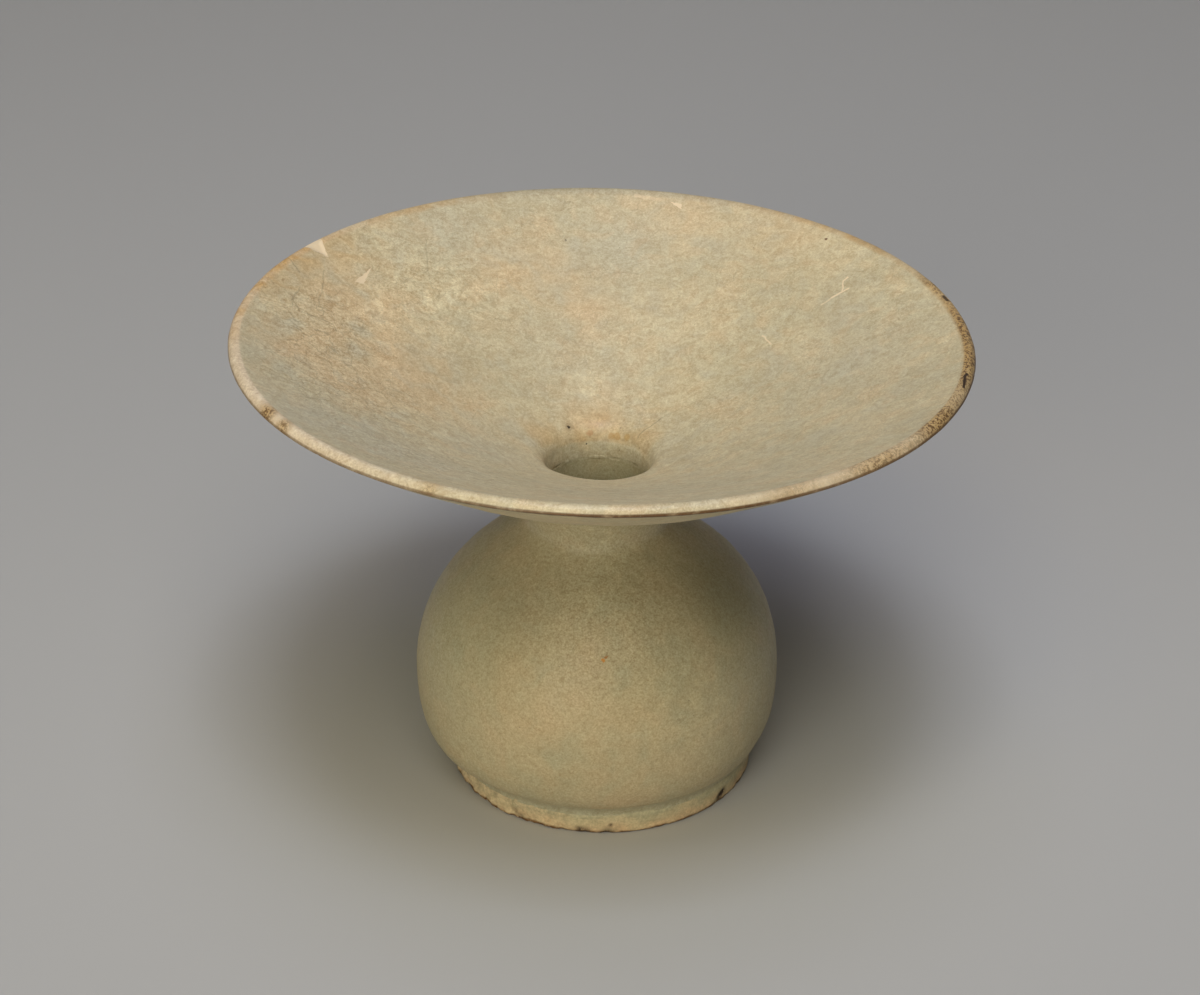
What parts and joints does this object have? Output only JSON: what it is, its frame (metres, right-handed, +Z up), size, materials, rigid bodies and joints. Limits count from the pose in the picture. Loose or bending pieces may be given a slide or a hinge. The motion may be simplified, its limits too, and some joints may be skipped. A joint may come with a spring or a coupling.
{
  "type": "leys jar",
  "caption": "Glazed stoneware jar with a wide shallow dish mouth, open throat, waisted neck and round globe body, standing on a low luted foot ring.",
  "frame": {"origin": "centre of the foot ring's resting face, in the plane that the jar stands on", "axes": "+Z up through the throat; +X towards the side to which the mouth leans down, the right of the picture; +Y away from the viewer of the picture"},
  "size_m": [0.172, 0.172, 0.1173],
  "materials": {
    "celadon_glaze": "satin grey-green glaze over buff stoneware, finely speckled and crackled",
    "foot_clay": "matte fired clay under thin worn glaze, burnt brown where it stood",
    "luting_slip": "matte"
  },
  "bodies": {
    "root": {"foot_ring": "foot_clay", "foot_slip_ring": "luting_slip", "globe_body": "celadon_glaze", "neck_slip_ring": "luting_slip", "mouth_dish": "celadon_glaze"}
  },
  "joints": []
}
